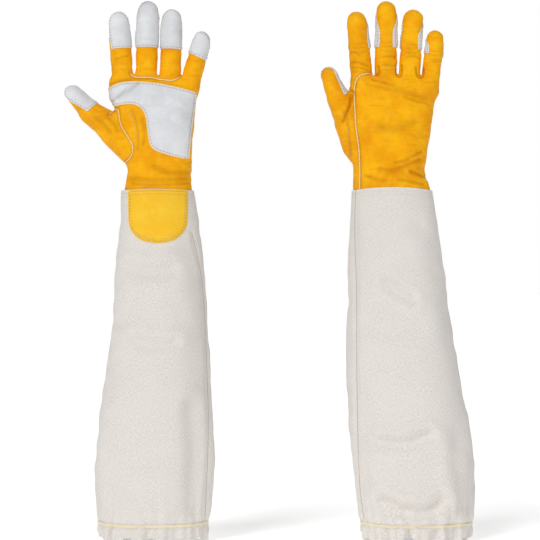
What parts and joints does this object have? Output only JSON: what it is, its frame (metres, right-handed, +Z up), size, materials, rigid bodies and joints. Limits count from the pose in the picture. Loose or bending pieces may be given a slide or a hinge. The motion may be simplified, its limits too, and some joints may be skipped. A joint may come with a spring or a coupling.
{
  "type": "beekeeping gloves",
  "caption": "Pair of long beekeeping gloves with golden leather hands, white leather palm and fingertip patches, and elasticated canvas gauntlet sleeves.",
  "frame": {"origin": "on the ground, at the bottom centre of the pair's bounding box", "axes": "+Z up along the sleeves to the fingertips, +X from the left glove to the right glove, -Y towards the viewer: the left glove turns its palm to -Y and the right glove its back"},
  "size_m": [0.451, 0.0918, 0.5927],
  "materials": {
    "yellow_leather": "golden yellow grain leather, soft sheen",
    "white_leather": "pale grey-white grain leather, matt",
    "canvas": "unbleached cotton canvas, matt",
    "tape": "cream woven tape, matt",
    "elastic": "woven elastic, matt"
  },
  "bodies": {
    "left_sleeve": {"left_sleeve": "canvas", "left_hem_elastic": "elastic", "left_hem_tape": "tape", "left_label_patch": "yellow_leather"},
    "left_hand": {"left_wrist_leather": "yellow_leather", "left_palm_panel": "yellow_leather", "left_back_panel": "yellow_leather", "left_side_panel": "yellow_leather", "left_palm_patch": "white_leather"},
    "left_index_base": {"left_index_base_front": "yellow_leather", "left_index_base_back": "yellow_leather"},
    "left_index_tip": {"left_index_tip_patch": "white_leather", "left_index_tip_back": "yellow_leather"},
    "left_middle_base": {"left_middle_base_front": "yellow_leather", "left_middle_base_back": "yellow_leather"},
    "left_middle_tip": {"left_middle_tip_patch": "white_leather", "left_middle_tip_back": "yellow_leather"},
    "left_ring_base": {"left_ring_base_front": "yellow_leather", "left_ring_base_back": "yellow_leather"},
    "left_ring_tip": {"left_ring_tip_patch": "white_leather", "left_ring_tip_back": "yellow_leather"},
    "left_little_base": {"left_little_base_front": "yellow_leather", "left_little_base_back": "yellow_leather"},
    "left_little_tip": {"left_little_tip_patch": "white_leather", "left_little_tip_back": "yellow_leather"},
    "left_thumb_base": {"left_thumb_base_front": "yellow_leather", "left_thumb_base_back": "yellow_leather"},
    "left_thumb_tip": {"left_thumb_tip_patch": "white_leather", "left_thumb_tip_back": "yellow_leather"},
    "right_sleeve": {"right_sleeve": "canvas", "right_hem_elastic": "elastic", "right_hem_tape": "tape", "right_label_patch": "yellow_leather"},
    "right_hand": {"right_wrist_leather": "yellow_leather", "right_palm_panel": "yellow_leather", "right_back_panel": "yellow_leather", "right_side_panel": "yellow_leather", "right_palm_patch": "white_leather"},
    "right_index_base": {"right_index_base_front": "yellow_leather", "right_index_base_back": "yellow_leather"},
    "right_index_tip": {"right_index_tip_patch": "white_leather", "right_index_tip_back": "yellow_leather"},
    "right_middle_base": {"right_middle_base_front": "yellow_leather", "right_middle_base_back": "yellow_leather"},
    "right_middle_tip": {"right_middle_tip_patch": "white_leather", "right_middle_tip_back": "yellow_leather"},
    "right_ring_base": {"right_ring_base_front": "yellow_leather", "right_ring_base_back": "yellow_leather"},
    "right_ring_tip": {"right_ring_tip_patch": "white_leather", "right_ring_tip_back": "yellow_leather"},
    "right_little_base": {"right_little_base_front": "yellow_leather", "right_little_base_back": "yellow_leather"},
    "right_little_tip": {"right_little_tip_patch": "white_leather", "right_little_tip_back": "yellow_leather"},
    "right_thumb_base": {"right_thumb_base_front": "yellow_leather", "right_thumb_base_back": "yellow_leather"},
    "right_thumb_tip": {"right_thumb_tip_patch": "white_leather", "right_thumb_tip_back": "yellow_leather"}
  },
  "joints": [
    {"name": "gloves_apart", "type": "slide", "parent": "left_sleeve", "child": "right_sleeve", "axis": [1, 0, 0], "range_m": [-0.09, 0.1]},
    {"name": "left_wrist_bend", "type": "hinge", "parent": "left_sleeve", "child": "left_hand", "pos_m": [-0.1211, 0, 0.4016], "axis": [1, 0, 0], "range_deg": [-45, 45], "stiffness_Nm_per_rad": 0.6, "deforming": ["left_wrist_leather"]},
    {"name": "left_index_curl", "type": "hinge", "parent": "left_hand", "child": "left_index_base", "pos_m": [-0.16246, -0.0142, 0.5111], "axis": [0.9976, 0, 0.0698], "range_deg": [0, 65], "stiffness_Nm_per_rad": 0.05},
    {"name": "left_index_tip_curl", "type": "hinge", "parent": "left_index_base", "child": "left_index_tip", "pos_m": [-0.16445, -0.01189, 0.53953], "axis": [0.9976, 0, 0.0698], "range_deg": [0, 75], "stiffness_Nm_per_rad": 0.03},
    {"name": "left_middle_curl", "type": "hinge", "parent": "left_hand", "child": "left_middle_base", "pos_m": [-0.1358, -0.0142, 0.5117], "axis": [0.9998, 0, -0.0209], "range_deg": [0, 65], "stiffness_Nm_per_rad": 0.05},
    {"name": "left_middle_tip_curl", "type": "hinge", "parent": "left_middle_base", "child": "left_middle_tip", "pos_m": [-0.13519, -0.01218, 0.54069], "axis": [0.9998, 0, -0.0209], "range_deg": [0, 75], "stiffness_Nm_per_rad": 0.03},
    {"name": "left_ring_curl", "type": "hinge", "parent": "left_hand", "child": "left_ring_base", "pos_m": [-0.11004, -0.0142, 0.5105], "axis": [0.9994, 0, -0.0349], "range_deg": [0, 65], "stiffness_Nm_per_rad": 0.05},
    {"name": "left_ring_tip_curl", "type": "hinge", "parent": "left_ring_base", "child": "left_ring_tip", "pos_m": [-0.10905, -0.0118, 0.53898], "axis": [0.9994, 0, -0.0349], "range_deg": [0, 75], "stiffness_Nm_per_rad": 0.03},
    {"name": "left_little_curl", "type": "hinge", "parent": "left_hand", "child": "left_little_base", "pos_m": [-0.0864, -0.0142, 0.50749], "axis": [0.9659, 0, -0.2588], "range_deg": [0, 65], "stiffness_Nm_per_rad": 0.05},
    {"name": "left_little_tip_curl", "type": "hinge", "parent": "left_little_base", "child": "left_little_tip", "pos_m": [-0.08019, -0.01047, 0.53068], "axis": [0.9659, 0, -0.2588], "range_deg": [0, 75], "stiffness_Nm_per_rad": 0.03},
    {"name": "left_thumb_swing", "type": "hinge", "parent": "left_hand", "child": "left_thumb_base", "pos_m": [-0.1599, -0.0169, 0.43984], "axis": [0.309, 0, 0.9511], "range_deg": [0, 30], "stiffness_Nm_per_rad": 0.05},
    {"name": "left_thumb_tip_curl", "type": "hinge", "parent": "left_thumb_base", "child": "left_thumb_tip", "pos_m": [-0.198, -0.01204, 0.4709], "axis": [0.7314, 0, 0.682], "range_deg": [0, 40], "stiffness_Nm_per_rad": 0.03},
    {"name": "right_wrist_bend", "type": "hinge", "parent": "right_sleeve", "child": "right_hand", "pos_m": [0.1301, 0, 0.4016], "axis": [-1, 0, 0], "range_deg": [-45, 45], "stiffness_Nm_per_rad": 0.6, "deforming": ["right_wrist_leather"]},
    {"name": "right_index_curl", "type": "hinge", "parent": "right_hand", "child": "right_index_base", "pos_m": [0.10073, 0.0142, 0.5111], "axis": [-0.9962, 0, -0.0872], "range_deg": [0, 65], "stiffness_Nm_per_rad": 0.05},
    {"name": "right_index_tip_curl", "type": "hinge", "parent": "right_index_base", "child": "right_index_tip", "pos_m": [0.09825, 0.01189, 0.53949], "axis": [-0.9962, 0, -0.0872], "range_deg": [0, 75], "stiffness_Nm_per_rad": 0.03},
    {"name": "right_middle_curl", "type": "hinge", "parent": "right_hand", "child": "right_middle_base", "pos_m": [0.1274, 0.0142, 0.5117], "axis": [-1, 0, 0.007], "range_deg": [0, 65], "stiffness_Nm_per_rad": 0.05},
    {"name": "right_middle_tip_curl", "type": "hinge", "parent": "right_middle_base", "child": "right_middle_tip", "pos_m": [0.1276, 0.01218, 0.5407], "axis": [-1, 0, 0.007], "range_deg": [0, 75], "stiffness_Nm_per_rad": 0.03},
    {"name": "right_ring_curl", "type": "hinge", "parent": "right_hand", "child": "right_ring_base", "pos_m": [0.15316, 0.0142, 0.5105], "axis": [-0.9976, 0, 0.0698], "range_deg": [0, 65], "stiffness_Nm_per_rad": 0.05},
    {"name": "right_ring_tip_curl", "type": "hinge", "parent": "right_ring_base", "child": "right_ring_tip", "pos_m": [0.15515, 0.0118, 0.53893], "axis": [-0.9976, 0, 0.0698], "range_deg": [0, 75], "stiffness_Nm_per_rad": 0.03},
    {"name": "right_little_curl", "type": "hinge", "parent": "right_hand", "child": "right_little_base", "pos_m": [0.17677, 0.0142, 0.5081], "axis": [-0.9936, 0, 0.1132], "range_deg": [0, 65], "stiffness_Nm_per_rad": 0.05},
    {"name": "right_little_tip_curl", "type": "hinge", "parent": "right_little_base", "child": "right_little_tip", "pos_m": [0.17949, 0.01047, 0.53194], "axis": [-0.9936, 0, 0.1132], "range_deg": [0, 75], "stiffness_Nm_per_rad": 0.03},
    {"name": "right_thumb_swing", "type": "hinge", "parent": "right_hand", "child": "right_thumb_base", "pos_m": [0.09157, 0.0169, 0.44148], "axis": [-0.4695, 0, -0.8829], "range_deg": [0, 30], "stiffness_Nm_per_rad": 0.05},
    {"name": "right_thumb_tip_curl", "type": "hinge", "parent": "right_thumb_base", "child": "right_thumb_tip", "pos_m": [0.0751, 0.01204, 0.4851], "axis": [-0.9205, 0, -0.3907], "range_deg": [0, 40], "stiffness_Nm_per_rad": 0.03}
  ],
  "couplings": [
    {"joint": "left_index_tip_curl", "follows": "left_index_curl", "ratio": 1.1538},
    {"joint": "left_middle_tip_curl", "follows": "left_middle_curl", "ratio": 1.1538},
    {"joint": "left_ring_tip_curl", "follows": "left_ring_curl", "ratio": 1.1538},
    {"joint": "left_little_tip_curl", "follows": "left_little_curl", "ratio": 1.1538},
    {"joint": "left_thumb_tip_curl", "follows": "left_thumb_swing", "ratio": 1.3333},
    {"joint": "right_index_tip_curl", "follows": "right_index_curl", "ratio": 1.1538},
    {"joint": "right_middle_tip_curl", "follows": "right_middle_curl", "ratio": 1.1538},
    {"joint": "right_ring_tip_curl", "follows": "right_ring_curl", "ratio": 1.1538},
    {"joint": "right_little_tip_curl", "follows": "right_little_curl", "ratio": 1.1538},
    {"joint": "right_thumb_tip_curl", "follows": "right_thumb_swing", "ratio": 1.3333}
  ]
}
